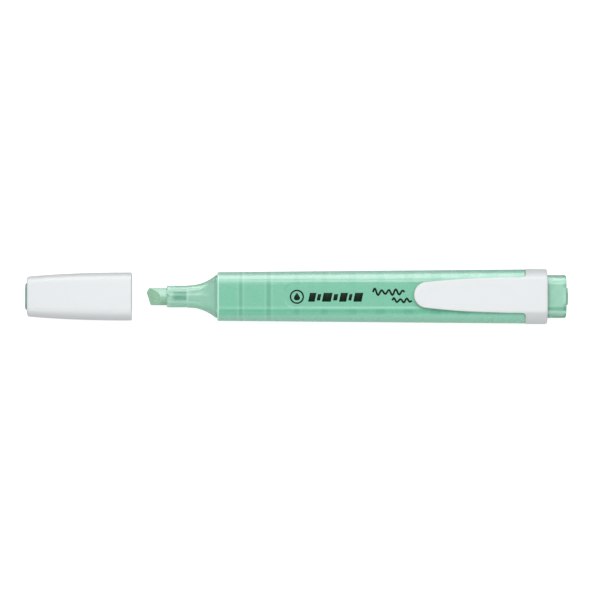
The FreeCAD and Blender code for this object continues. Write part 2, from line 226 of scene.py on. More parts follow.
class HighlighterStage(bpy.types.PropertyGroup):
    """Camera, light and floor."""

    camera_distance: FloatProperty(
        name="Camera Distance", description="Camera to the pen's axis",
        default=1.8, unit="LENGTH")
    camera_tilt: FloatProperty(
        name="Camera Tilt", description="How far the camera leans off the vertical",
        default=math.radians(3.5), subtype="ANGLE")
    view_width: FloatProperty(
        name="View Width", description="Width that the camera sees at the pen's axis",
        default=174.9 * MM, unit="LENGTH")
    key_power: FloatProperty(
        name="Key Power", description="Power of the overhead softbox",
        default=2.1, unit="POWER")
    fill_power: FloatProperty(
        name="Fill Power", description="Power of the softbox on the darker side",
        default=0.9, unit="POWER")
    gloss_power: FloatProperty(
        name="Gloss Card Power", description="Power of the card that only shows in reflections",
        default=6.8, unit="POWER")
    sky: FloatProperty(
        name="Sky", description="Strength of the even light from all round",
        default=0.45, subtype="FACTOR")
    floor_glow: FloatProperty(
        name="Floor Glow", description="How much of the floor's white is its own light",
        default=0.78, subtype="FACTOR")


def sizes():
    """The sizes in use."""
    return bpy.context.scene.highlighter_sizes


def finish():
    """The colours in use."""
    return bpy.context.scene.highlighter_finish


def stage():
    """The camera, light and floor settings in use."""
    return bpy.context.scene.highlighter_stage


# ---------------------------------------------------------------- mesh building
def ease(value, low, high):
    """0 below low, 1 above high, and a smooth step between them."""
    t = min(max((value - low) / (high - low), 0.0), 1.0)
    return t * t * (3 - 2 * t)


def divide(start, end, count):
    """Evenly spaced values from start to end, in count steps."""
    return [start + (end - start) * i / count for i in range(count + 1)]


def spread(start, end, step):
    """Evenly spaced values from start to end, about step apart."""
    return divide(start, end, max(1, round(abs(end - start) / step)))


def quarter(steps):
    """(sin, 1 - cos) pairs of a quarter turn: the two legs of a rounded edge."""
    return [(math.sin(angle), 1 - math.cos(angle)) for angle in divide(0, QUARTER_TURN, steps)]


class Oval:
    """A section across the pen: flat above and below, with a half ellipse on each side."""

    FLAT_STEPS = 12
    SIDE_STEPS = 36

    def __init__(self, half_width, half_thickness, flat=None):
        self.half_width = half_width
        self.half_thickness = half_thickness
        self.flat = half_width * sizes().flat_share if flat is None else flat

    def inset(self, depth):
        """A smaller section, depth inside this one, with the same flats."""
        return Oval(self.half_width - depth, self.half_thickness - depth, self.flat)

    def ring(self, x, flat_steps=None):
        """The section's points at x, from the middle of the top towards +Y and round."""
        flats = flat_steps or self.FLAT_STEPS
        side = self.half_width - self.flat
        half = [(y, self.half_thickness) for y in divide(0, self.flat, flats)[:-1]]
        for angle in divide(0, math.pi, self.SIDE_STEPS)[:-1]:
            half.append((self.flat + side * math.sin(angle), self.half_thickness * math.cos(angle)))
        half += [(y, -self.half_thickness) for y in divide(self.flat, 0, flats)]
        mirrored = [(-y, z) for y, z in reversed(half[1:-1])]
        return [Vector((x, y, AXIS_Z + z)) for y, z in half + mirrored]


def circle(x, radius, count):
    """A round section with its points in an oval's order."""
    return [Vector((x, radius * math.sin(angle), AXIS_Z + radius * math.cos(angle)))
            for angle in divide(0, FULL_TURN, count)[:-1]]


def between(ring_a, ring_b, share):
    """A ring part of the way from one ring to another."""
    return [a.lerp(b, share) for a, b in zip(ring_a, ring_b)]


def skin(rings, closed=False, mesh=None):
    """A surface through rings of points, capped at both ends, or closed from the last ring to the first."""
    mesh = mesh or bmesh.new()
    rows = [[mesh.verts.new(point) for point in ring] for ring in rings]
    pairs = list(zip(rows, rows[1:])) + ([(rows[-1], rows[0])] if closed else [])
    for row, following in pairs:
        for i in range(len(row)):
            j = (i + 1) % len(row)
            mesh.faces.new((row[i], row[j], following[j], following[i]))
    if not closed:
        mesh.faces.new(rows[0])
        mesh.faces.new(rows[-1])
    return mesh


def add_object(name, mesh, material):
    """Turns a mesh into an object of the scene."""
    data = bpy.data.meshes.new(name)
    mesh.to_mesh(data)
    mesh.free()
    data.materials.append(material)
    thing = bpy.data.objects.new(name, data)
    bpy.context.scene.collection.objects.link(thing)
    return thing


def smooth(data):
    """Shades a mesh smoothly."""
    data.polygons.foreach_set("use_smooth", [True] * len(data.polygons))


def make_piece(name, mesh, material, body=None, replaces=()):
    """Turns a mesh into a smooth shaded piece that rides on a body and stands for frame nodes."""
    bmesh.ops.recalc_face_normals(mesh, faces=mesh.faces)
    piece = add_object(name, mesh, material)
    smooth(piece.data)
    if body:
        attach(piece, body)
    if replaces:
        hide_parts(*replaces)
    return piece


def finish_node(node, material):
    """Gives a carried-over frame node its finish."""
    piece = frame["nodes"][node]
    piece.data.materials.clear()
    piece.data.materials.append(material)


# ---------------------------------------------------------------- shader building
class Socket:
    """A shader value. Arithmetic on it adds Math nodes."""

    def __init__(self, graph, link):
        self.graph = graph
        self.link = link

    def math(self, operation, *others):
        """A Math node on this value and the others."""
        return self.graph.add("ShaderNodeMath", {"operation": operation}, dict(enumerate((self, *others))))

    def __add__(self, other):
        return self.math("ADD", other)

    __radd__ = __add__

    def __mul__(self, other):
        return self.math("MULTIPLY", other)

    __rmul__ = __mul__

    def __sub__(self, other):
        return self.math("SUBTRACT", other)

    def __rsub__(self, other):
        return -self + other

    def __truediv__(self, other):
        return self.math("DIVIDE", other)

    def __rtruediv__(self, other):
        return self.math("POWER", -1) * other

    def __neg__(self):
        return self * -1

    def __abs__(self):
        return self.math("ABSOLUTE")

    def rounded(self):
        return self.math("ROUND")

    def clamped(self):
        return self.graph.add("ShaderNodeClamp", {}, {"Value": self})

    def step(self, low, high):
        """0 below low and 1 above high, smooth between them."""
        return self.graph.add("ShaderNodeMapRange", {"interpolation_type": "SMOOTHSTEP"}, {
            "Value": self, "From Min": low, "From Max": high, "To Min": 0.0, "To Max": 1.0})

    def hump(self, middle, half_width, soft):
        """1 within half_width of middle, falling softly to 0 outside it."""
        return 1 - abs(self - middle).step(half_width - soft, half_width + soft)


class Graph:
    """The node tree of one material."""

    def __init__(self, name):
        self.material = bpy.data.materials.new(name)
        self.material.use_nodes = True
        self.tree = self.material.node_tree
        self.tree.nodes.clear()

    def add(self, kind, settings=None, values=None, out=0):
        """Adds a node, applies its settings, then fills its sockets with values or links."""
        node = self.tree.nodes.new(kind)
        for key, value in (settings or {}).items():
            setattr(node, key, value)
        for key, value in (values or {}).items():
            if isinstance(value, Socket):
                self.tree.links.new(value.link, node.inputs[key])
            else:
                node.inputs[key].default_value = value
        return None if out is None else Socket(self, node.outputs[out])

    def place(self, scale=(1, 1, 1)):
        """Coordinates in millimetres in the pen's own frame, stretched by scale."""
        coordinates = self.add("ShaderNodeTexCoord", out="Object")
        return self.add("ShaderNodeVectorMath", {"operation": "MULTIPLY"}, {
            0: coordinates, 1: [s / MM for s in scale]})

    def axes(self):
        """X, Y and Z in millimetres, Z from the pen's axis."""
        split = self.place()
        x, y, z = (self.add("ShaderNodeSeparateXYZ", {}, {0: split}, out=i) for i in range(3))
        return x, y, z - AXIS_Z / MM

    def grain(self, frequency, detail=3.0, roughness=0.55, scale=(1, 1, 1)):
        """Noise from 0 to 1, frequency cells to a millimetre."""
        return self.add("ShaderNodeTexNoise", {"noise_dimensions": "3D"}, {
            "Vector": self.place(scale), "Scale": frequency, "Detail": detail, "Roughness": roughness})

    def mix(self, share, first, second):
        """A colour from first (share 0) to second (share 1)."""
        # The colour sockets share their names with others, so they go by number.
        return self.add("ShaderNodeMix", {"data_type": "RGBA"}, {
            0: share, 6: colour(first), 7: colour(second)}, out=2)

    def bump(self, height, distance):
        """A normal that makes height look as if it stands up by distance."""
        return self.add("ShaderNodeBump", {}, {"Height": height, "Distance": distance})

    def surface(self, **values):
        """The Principled shader and the output, with values keyed by socket name."""
        named = {key.replace("_", " ").title().replace("Ior", "IOR"): value for key, value in values.items()}
        shader = self.add("ShaderNodeBsdfPrincipled", {}, named)
        self.add("ShaderNodeOutputMaterial", {}, {"Surface": shader}, out=None)
        return self.material


def scaled(value, factor, lift=0.0):
    """A plain colour made brighter or darker, and then lifted."""
    return tuple(min(1.0, channel * factor + lift) for channel in value)


def colour(value):
    """A colour with alpha, unless value is already a link."""
    return value if isinstance(value, Socket) else (*value[:3], 1.0)


# ---------------------------------------------------------------- materials
# Places in the materials are in millimetres in the pen's own frame, and all shares run from 0 to 1.
def handling(graph):
    """Soft unevenness of a moulded surface that has been handled."""
    return graph.grain(0.35, 4.0) * 0.6 + graph.grain(2.4, 2.0) * 0.4


def tinted_plastic():
    """Translucent mint plastic: deep where the barrel's rings are thick, with painted shade along its -Y
    corner, painted highlights on its +Y side and front edge, painted light along its -Y side, and a painted
    glow.
    """
    graph = Graph("tinted_barrel")
    look, size = finish(), sizes()
    x, y, _ = graph.axes()
    below = -y

    # The inner rings: how far each place is from the nearest one's middle, and half that one's width.
    pitch = size.rib_pitch / MM
    first = (SHOULDER_X + size.rib_start) / MM
    index = ((x - first) / pitch).rounded()
    offset = abs(x - first - index * pitch)
    half = index * (size.rib_growth / MM / 2) + size.rib_width / MM / 2
    from_first = x.step(first - 2.0, first - 1.0)
    rib = (1 - (offset - half).step(-0.3, 0.3)) * from_first
    # rim is a painted highlight: a pale line just behind each ring's edge.
    rim = (offset - half - 0.45).hump(0, 0.3, 0.25) * from_first
    front_ribs = 1 - index.step(1.0, 2.2)

    # Across the pen: painted shade along the corner on the -Y side, away from the light; a painted highlight
    # on the lit +Y side; painted light where the -Y flat turns and along the -Y side's outer edge; and a
    # painted glow on the -Y side.
    corner = below.hump(4.85, 0.65, 0.45)
    painted_highlight = y.step(2.7, 5.1) * (1 - y.step(6.7, 7.6) * 0.6) * (1 - rib * 0.2)
    # thin adds up painted light: the painted highlight and the painted pale strips on the -Y side.
    thin = painted_highlight + below.hump(3.75, 0.45, 0.4) * 0.3 + below.step(5.3, 6.3) * 0.65
    # glow is a painted glow on the -Y side.
    glow = below.step(3.4, 4.8)

    # deep mixes the rings' own deeper tint with the painted corner shade; the rings are darker still where
    # they cross it.
    deep = corner * 0.62 + rib * (corner * 0.7 + (1 - corner) * (front_ribs * 0.75 + 0.06))
    uneven = graph.grain(0.1, 2.0) - 0.5
    tone = graph.mix((deep + uneven * 0.08).clamped(), look.mint, look.mint_deep)
    # pale is mostly painted light: the painted highlight and pale strips, and the painted highlight lines
    # behind the first rings, with a little random unevenness.
    pale = thin * 0.85 + uneven * 0.05 + rim * front_ribs * 0.15
    tone = graph.mix(pale.clamped(), tone, look.mint_pale)
    # lip is a painted highlight along the barrel's front edge.
    lip = 1 - (x - SHOULDER_X / MM).step(0.35, 0.6)
    tone = graph.mix(lip * 0.8, tone, look.mint_highlight)
    ripple = graph.grain(0.5, 1.0, scale=(0.25, 1, 1))
    return graph.surface(
        base_color=tone,
        roughness=graph.grain(0.3, 2.0) * 0.05 + 0.25,
        ior=1.5,
        subsurface_weight=0.15,
        subsurface_radius=(0.6, 1.0, 0.8),
        subsurface_scale=1.2 * MM,
        coat_weight=0.2,
        coat_roughness=0.3,
        coat_ior=1.5,
        # A painted glow: a faint emission, strongest on the -Y side.
        emission_color=graph.mix(glow, scaled(look.mint_glow, 0.04), look.mint_glow),
        emission_strength=0.07,
        normal=graph.bump(ripple, 0.003 * MM),
    )


def clear_tinted_plastic(name, marks):
    """Thin, clear mint plastic. marks(graph) gives how deep and how pale it looks from place to place,
    painted shadows and painted highlights among them; a faint painted glow lies over it all.
    """
    graph = Graph(name)
    look = finish()
    deep, pale = marks(graph)
    uneven = graph.grain(0.4, 2.0) * 0.3
    tone = graph.mix((uneven + deep).clamped(), look.clear_mint, look.mint_deep)
    tone = graph.mix(pale.clamped(), tone, look.mint_highlight)
    return graph.surface(
        base_color=tone,
        roughness=graph.grain(0.4, 2.0) * 0.05 + 0.14,
        ior=1.45,
        transmission_weight=0.35,
        subsurface_weight=0.5,
        subsurface_radius=(0.6, 1.0, 0.8),
        subsurface_scale=1.2 * MM,
        coat_weight=0.25,
        coat_roughness=0.18,
        # A painted glow, dimmer where the marks are deep.
        emission_color=graph.mix((deep * 0.5).clamped(), look.mint_glow, scaled(look.mint_glow, 0.3)),
        emission_strength=0.045,
        normal=graph.bump(graph.grain(0.8, 2.0), 0.02 * MM),
    )


def front_marks(graph):
    """Dark channels along the collar behind the vents, a painted shadow just before the barrel's shoulder,
    and painted highlights: a pale line at the collar's step and a pale front rim.
    """
    x, y, z = graph.axes()
    between_vents = FULL_TURN / HIGHLIGHTER_OT_front.VENTS
    angle = y.math("ARCTAN2", z)
    off = abs(angle - (angle / between_vents).rounded() * between_vents)
    front = FRONT_LOW.x / MM
    neck = front + 6.1  # where the collar meets the flare
    length = x.step(front + 1.3, front + 2.6) * (1 - x.step(neck - 0.5, neck - 0.2))
    channel = (1 - off.step(0.26, 0.56)) * length
    shadow = x.hump(SHOULDER_X / MM - 0.55, 0.25, 0.15)
    # pale is painted highlight.
    pale = x.hump(neck + 0.1, 0.3, 0.2) * 0.6 + (1 - x.step(front + 0.5, front + 1.7)) * 0.4
    return channel * 0.5 + shadow * 0.2, pale


def plug_marks(graph):
    """The plug's walls seen edge on and its thick end, with a painted shadow of the inner ledge on the -Y
    side, a painted shadow beside the clip's ring, and painted highlights.
    """
    x, y, _ = graph.axes()
    below = -y
    side = abs(y)
    end = (PLUG_HIGH.x - HIGHLIGHTER_OT_plug.BOSS_HEIGHT) / MM
    # Painted shadow of the inner ledge, on the -Y side only.
    ledge_shadow = below.hump(4.0, 0.55, 0.3) * 0.4
    rim = side.step(5.6, 6.2) * 0.6
    thick = x.hump(end - 0.5, 0.45, 0.3) * side.step(2.0, 2.8) * 0.4 + x.step(end, end + 0.3) * 0.55
    # Painted shadow on the plug just behind the clip's ring.
    ring_shadow = 1 - x.step(RING_HIGH.x / MM + 0.1, RING_HIGH.x / MM + 0.8)
    # pale is a painted highlight on the +Y side and a painted pale line on the -Y side.
    pale = y.hump(4.4, 1.0, 0.4) * 0.6 + below.hump(4.95, 0.35, 0.25)
    return ledge_shadow + rim + thick + ring_shadow * 0.4, pale


def white_plastic():
    """Opaque white plastic with the faint cloudiness and fine texture of a moulding."""
    graph = Graph("white_moulding")
    look = finish()
    shaded = scaled(look.white, 0.93)
    uneven = handling(graph)
    scuffs = graph.grain(1.6, 5.0, 0.7, scale=(0.3, 1, 1)).step(0.6, 0.8)
    return graph.surface(
        base_color=graph.mix(uneven * 0.35 + scuffs * 0.15, look.white, shaded),
        roughness=graph.grain(1.0, 3.0) * 0.14 + 0.3 + scuffs * 0.1,
        specular_ior_level=0.4,
        subsurface_weight=0.2,
        subsurface_radius=(1.0, 1.0, 1.0),
        subsurface_scale=0.5 * MM,
        normal=graph.bump(graph.grain(12.0, 2.0) * 0.15 + graph.grain(0.4, 1.0), 0.02 * MM),
    )


def liner_plastic():
    """Opaque mint plastic of the cap's inner cup and its end disc."""
    graph = Graph("liner_moulding")
    look = finish()
    darker = scaled(look.liner, 0.75)
    return graph.surface(
        base_color=graph.mix(handling(graph), look.liner, darker),
        roughness=graph.grain(2.0, 3.0) * 0.15 + 0.35,
        ior=1.5,
        subsurface_weight=0.2,
        subsurface_radius=(0.6, 1.0, 0.8),
        subsurface_scale=0.6 * MM,
        normal=graph.bump(graph.grain(8.0, 2.0), 0.01 * MM),
    )


def felt():
    """Bonded fibres, soaked with ink: streaks along the nib, paler where the light catches them."""
    graph = Graph("nib_felt")
    look = finish()
    pale, dark = scaled(look.felt, 1.5, 0.05), scaled(look.felt, 0.6)
    streaks = graph.grain(9.0, 3.0, 0.6, scale=(0.12, 1, 1))
    fuzz = graph.grain(26.0, 2.0)
    tone = graph.mix(streaks.step(0.35, 0.68), dark, look.felt)
    tone = graph.mix(fuzz.step(0.52, 0.72) * 0.55, tone, pale)
    # The cut faces of the chisel face forwards and stay darker; the round side gets a painted highlight,
    # strongest on its +Y half.
    facing = graph.add("ShaderNodeSeparateXYZ", {}, {0: graph.add("ShaderNodeTexCoord", out=1)})
    cut = (-facing).step(0.05, 0.45)
    x, y, _ = graph.axes()
    tone = graph.mix((1 - cut) * (y.step(-0.6, 0.8) * 0.6 + 0.15), tone, look.mint_highlight)
    front = FRONT_LOW.x / MM
    shaded = x.step(front - 2.6, front - 1.2) * (1 - y.step(-1.2, 0.4)) * (fuzz.step(0.35, 0.6) * 0.5 + 0.4)
    tone = graph.mix(shaded, tone, dark)
    soaked = x.step(front - 0.6, front + 1.8) * 0.7
    tone = graph.mix(soaked, tone, look.mint_deep)
    return graph.surface(
        base_color=tone,
        roughness=fuzz * 0.2 + 0.72,
        normal=graph.bump(streaks * 0.7 + fuzz * 0.5, 0.09 * MM),
    )


def reservoir_fibre():
    """The rod of loose fibres that holds the ink, streaked along its length."""
    graph = Graph("reservoir_fibre")
    look = finish()
    streaks = graph.grain(5.0, 3.0, 0.6, scale=(0.06, 1, 1))
    return graph.surface(
        base_color=graph.mix(streaks, look.mint_deep, look.mint_pale),
        roughness=0.9,
        normal=graph.bump(streaks, 0.1 * MM),
    )


def clear_film():
    """The thin film wrapped round the reservoir."""
    graph = Graph("reservoir_film")
    look = finish()
    return graph.surface(
        base_color=graph.mix(graph.grain(0.6), look.mint_pale, look.film),
        roughness=graph.grain(2.0) * 0.1 + 0.1,
        transmission_weight=0.7,
        ior=1.5,
    )


def printed_ink():
    """Pad-printed black, a little uneven, with pinholes too small to see from afar."""
    graph = Graph("printed_ink")
    look = finish()
    worn = scaled(look.print_ink, 2.2, 0.012)
    return graph.surface(
        base_color=graph.mix(graph.grain(6.0, 4.0, 0.7).step(0.55, 0.8), look.print_ink, worn),
        roughness=graph.grain(5.0) * 0.15 + 0.5,
        specular_ior_level=0.08,
        normal=graph.bump(graph.grain(20.0), 0.01 * MM),
    )


# ---------------------------------------------------------------- barrel
def barrel_section(x):
    """The barrel's outer section at x."""
    size = sizes()
    share = (x - SHOULDER_X) / (RING_X - SHOULDER_X)
    half_width = size.front_half_width + share * (size.rear_half_width - size.front_half_width)
    return Oval(half_width, HALF_THICKNESS, size.front_half_width * size.flat_share)


def panel_sink(x, y):
    """How deep the panel lies below the flat at a place: 0 outside it, soft at its rim."""
    size = sizes()
    from_front = x - SHOULDER_X - size.panel_start
    from_side = size.panel_half_width - abs(y)
    corner = size.panel_corner
    if from_front < corner and from_side < corner:
        inside = corner - math.hypot(corner - from_front, corner - from_side)
    else:
        inside = min(from_front, from_side)
    return size.panel_depth * ease(inside, 0.0, size.panel_slope)


def sunk_panel(ring):
    """A barrel ring with the panel pressed into its top."""
    for point in ring:
        if point.z > AXIS_Z:
            point.z -= panel_sink(point.x, point.y)
    return ring


class HIGHLIGHTER_OT_barrel(bpy.types.Operator):
    """Builds the barrel with its sunk panel, inner rings and rear spigot, and finishes what it holds"""

    bl_idname = "highlighter.barrel"
    bl_label = "Barrel"

    FLAT_STEPS = 34
    COARSE_STEP = 0.8 * MM
    FINE_STEP = 0.12 * MM
    FINE_BEFORE_PANEL = 0.4 * MM
    FINE_INTO_PANEL = 4.4 * MM
    CHAMFER = 0.1 * MM
    SPIGOT_STEP = 0.87 * MM
    SPIGOT_WALL = 1.0 * MM

    def execute(self, context):
        rings = self.outside() + self.inside() + self.spigot()
        make_piece("barrel_shell", skin(rings, closed=True), tinted_plastic(), "pen",
                   ("barrel",))
        finish_node("reservoir_core", reservoir_fibre())
        finish_node("reservoir_film", clear_film())
        return {"FINISHED"}

    def outside(self):
        """From the clip's ring forward over the panel, and round the front edge."""
        size = sizes()
        panel_x = SHOULDER_X + size.panel_start
        fine_rear_x, fine_front_x = panel_x + self.FINE_INTO_PANEL, panel_x - self.FINE_BEFORE_PANEL
        round_x = SHOULDER_X + size.edge_round
        places = spread(RING_X, fine_rear_x, self.COARSE_STEP)
        places += spread(fine_rear_x, fine_front_x, self.FINE_STEP)[1:]
        places += spread(fine_front_x, round_x, self.COARSE_STEP)[1:]
        rings = [sunk_panel(barrel_section(x).ring(x, self.FLAT_STEPS)) for x in places]
        for forward, inward in quarter(6)[1:]:
            x = round_x - forward * size.edge_round
            rings.append(barrel_section(x).inset(inward * size.edge_round).ring(x, self.FLAT_STEPS))
        for depth in (size.edge_round + 0.08 * MM, size.wall - self.CHAMFER):
            rings.append(barrel_section(SHOULDER_X).inset(depth).ring(SHOULDER_X, self.FLAT_STEPS))
        return rings

    def cavity(self, x):
        """The inner wall's ring at x."""
        return barrel_section(x).inset(sizes().wall).ring(x, self.FLAT_STEPS)

    def inside(self):
        """Back along the inner wall, in and out over each inner ring, to the plug's seat."""
        size = sizes()
        middle, width = SHOULDER_X + size.rib_start, size.rib_width
        rings = [self.cavity(SHOULDER_X + self.CHAMFER)]
        count = len(rings[0])
        while middle + size.rib_pitch / 2 < PLUG_LOW.x:
            front, rear = middle - width / 2, middle + width / 2
            rings += [self.cavity(front), circle(front, size.bore, count)]
            rings += [circle(rear, size.bore, count), self.cavity(rear)]
            middle += size.rib_pitch
            width += size.rib_growth
        stop_x = PLUG_LOW.x - size.wall
        return rings + [self.cavity(stop_x), circle(stop_x, size.bore, count)]

    def spigot(self):
        """The stepped rear end that the clip's ring goes over and the plug goes into."""
        outer = Oval(RING_HIGH.y - self.SPIGOT_STEP, HALF_THICKNESS - self.SPIGOT_STEP)
        inner = outer.inset(self.SPIGOT_WALL)
        corners = ((inner, PLUG_LOW.x), (inner, BARREL_HIGH.x), (outer, BARREL_HIGH.x), (outer, RING_X))
        return [section.ring(x, self.FLAT_STEPS) for section, x in corners]


# ---------------------------------------------------------------- front section
class HIGHLIGHTER_OT_front(bpy.types.Operator):
    """Builds the collar, its vents, the concave flare and the land that the cap fits"""

    bl_idname = "highlighter.front_section"
    bl_label = "Front Section"

    FLARE_STEPS = 30
    FLARE_POWER = 2.2
    FLARE_WALL = 0.9 * MM
    SKIRT_WALL = 0.8 * MM
    LAND_ROUND = 0.12 * MM
    RIM_ROUND = 0.25 * MM
    MOUTH_CHAMFER = 0.08 * MM
    PLAIN_FROM_RIM = 1.2 * MM
    VENTS = 3
    VENT_HALF_ANGLE = math.radians(9)
    VENT_DEPTH = 0.5 * MM

    def notched(self, ring):
        """A rim ring pushed back where a vent opens through it."""
        for point in ring:
            angle = math.atan2(point.y, point.z - AXIS_Z)
            nearest = round(angle * self.VENTS / FULL_TURN) * FULL_TURN / self.VENTS
            off = abs(angle - nearest) / self.VENT_HALF_ANGLE
            point.x += self.VENT_DEPTH * (1 - ease(off, 0.55, 1.15))
        return ring

    def execute(self, context):
        size = sizes()
        land = Oval(FRONT_HIGH.y, FRONT_HIGH.z - AXIS_Z)
        land_x = SHOULDER_X - size.land_length
        neck_x = land_x - size.flare_length
        seat_x = SHOULDER_X - 0.02 * MM
        skirt = barrel_section(SHOULDER_X).inset(size.wall + 0.03 * MM)
        hollow = skirt.inset(self.SKIRT_WALL)
        count = len(land.ring(0))

        def flare(neck, wide, shares):
            """Rings of the concave flare, which grows from a round neck to a wide oval."""
            rings = []
            for share in shares:
                x = neck_x + share * size.flare_length
                rings.append(between(circle(x, neck, count), wide.ring(x), share ** self.FLARE_POWER))
            return rings

        rings = [skirt.ring(FRONT_HIGH.x), skirt.ring(seat_x)]
        rings += [land.inset(self.LAND_ROUND).ring(seat_x), land.ring(seat_x - self.LAND_ROUND)]
        rings.append(land.ring(land_x + 0.05 * MM))
        shares = divide(1, 0, self.FLARE_STEPS)
        rings += flare(size.neck_radius, land.inset(0.08 * MM), shares)
        rings += self.collar(neck_x, count)
        rings += flare(size.neck_radius - self.FLARE_WALL, land.inset(self.FLARE_WALL), shares[::-2])
        rings += [hollow.ring(land_x + 0.2 * MM), hollow.ring(FRONT_HIGH.x)]
        make_piece("front_shell", skin(rings, closed=True), clear_tinted_plastic("front_clear", front_marks),
                   "pen", ("front_section",))
        return {"FINISHED"}

    def collar(self, neck_x, count):
        """Rings from the neck forward along the collar, round its notched rim, and back through its bore."""
        collar, bore = sizes().collar_radius, NIB_HIGH.y + 0.02 * MM
        front_x = FRONT_LOW.x
        round_x, plain_x = front_x + self.RIM_ROUND, front_x + self.PLAIN_FROM_RIM
        rings = [circle(neck_x - 0.06 * MM, collar, count)]
        rings += [circle(x, collar, count) for x in spread(neck_x - 0.12 * MM, plain_x, 0.6 * MM)]
        rim = [(round_x + 0.1 * MM, collar)]
        rim += [(round_x - forward * self.RIM_ROUND, collar - inward * self.RIM_ROUND)
                for forward, inward in quarter(5)]
        rim += [(front_x, bore + self.MOUTH_CHAMFER), (front_x + self.MOUTH_CHAMFER, bore)]
        rings += [self.notched(circle(x, radius, count)) for x, radius in rim]
        return rings + [circle(plain_x, bore, count), circle(neck_x, bore, count)]


# ---------------------------------------------------------------- nib
class HIGHLIGHTER_OT_nib(bpy.types.Operator):
    """Builds the bonded-fibre chisel nib with its worn edges and thin tail"""

    bl_idname = "highlighter.nib"
    bl_label = "Nib"

    EDGE_SLANT = math.radians(18)
    CORNER_SLANT = math.radians(31)
    WEDGE_HALF_ANGLE = math.radians(36)
    CORNER_SIZE = 1.5 * MM
    SPARE_LENGTH = 1.0 * MM
    SEAT_LENGTH = 2.0 * MM
    TAIL_RADIUS = 1.9 * MM
    TAIL_TAPER = 2.5 * MM
    SEGMENTS = 64
    VOXEL = 0.11 * MM
    RIDGE_HEIGHT = 0.035
    DENT_DEPTH = 0.03

    def wedge(self, mesh, point, normal):
        """Cuts away what lies beyond a plane and closes the cut."""
        geometry = mesh.verts[:] + mesh.edges[:] + mesh.faces[:]
        cut = bmesh.ops.bisect_plane(
            mesh, geom=geometry, dist=1e-7, plane_co=point, plane_no=normal, clear_outer=True)
        edges = [item for item in cut["geom_cut"] if isinstance(item, bmesh.types.BMEdge)]
        bmesh.ops.edgeloop_fill(mesh, edges=edges)

    def execute(self, context):
        tip = Vector((NIB_LOW.x, NIB_HIGH.y - self.CORNER_SIZE, AXIS_Z))
        seat_end_x = FRONT_LOW.x + self.SEAT_LENGTH
        ends = (NIB_LOW.x - self.SPARE_LENGTH, seat_end_x)
        mesh = skin([circle(x, NIB_HIGH.y, self.SEGMENTS) for x in ends])
        along = Vector((-math.cos(self.EDGE_SLANT), -math.sin(self.EDGE_SLANT), 0))
        rise, run = math.cos(self.WEDGE_HALF_ANGLE), math.sin(self.WEDGE_HALF_ANGLE)
        for side in (1, -1):
            self.wedge(mesh, tip, along * run + Vector((0, 0, side * rise)))
        self.wedge(mesh, tip, Vector((-math.cos(self.CORNER_SLANT), math.sin(self.CORNER_SLANT), 0)))
        tail = self.TAIL_RADIUS
        skin([circle(seat_end_x - tail, tail, self.SEGMENTS),
              circle(NIB_HIGH.x - self.TAIL_TAPER, tail, self.SEGMENTS),
              circle(NIB_HIGH.x, tail / 3, self.SEGMENTS)], mesh=mesh)
        piece = make_piece("nib_fibre", mesh, felt(), "pen", ("nib",))
        self.remesh(context, piece)
        self.fray(piece)
        return {"FINISHED"}

    def remesh(self, context, piece):
        """Joins the body and the tail into one even, slightly softened surface."""
        body = piece.modifiers.new("even", "REMESH")
        body.mode = "VOXEL"
        body.voxel_size = self.VOXEL
        soften = piece.modifiers.new("soften", "SMOOTH")
        soften.factor = 0.5
        soften.iterations = 4
        evaluated = piece.evaluated_get(context.evaluated_depsgraph_get())
        data = bpy.data.meshes.new_from_object(evaluated)
        piece.modifiers.clear()
        data.materials.clear()
        data.materials.append(piece.data.materials[0])
        piece.data = data
        smooth(data)

    def fray(self, piece):
        """Small dents and ridges that run along the fibres."""
        moved = []
        for vertex in piece.data.vertices:
            place = vertex.co / MM
            ridge = noise.noise(Vector((place.x * 0.5, place.y * 4.5, place.z * 4.5)))
            dent = noise.noise(place * 2.2)
            height = self.RIDGE_HEIGHT * ridge + self.DENT_DEPTH * dent - self.DENT_DEPTH
            moved.extend(vertex.co + vertex.normal * height * MM)
        piece.data.vertices.foreach_set("co", moved)
        piece.data.update()


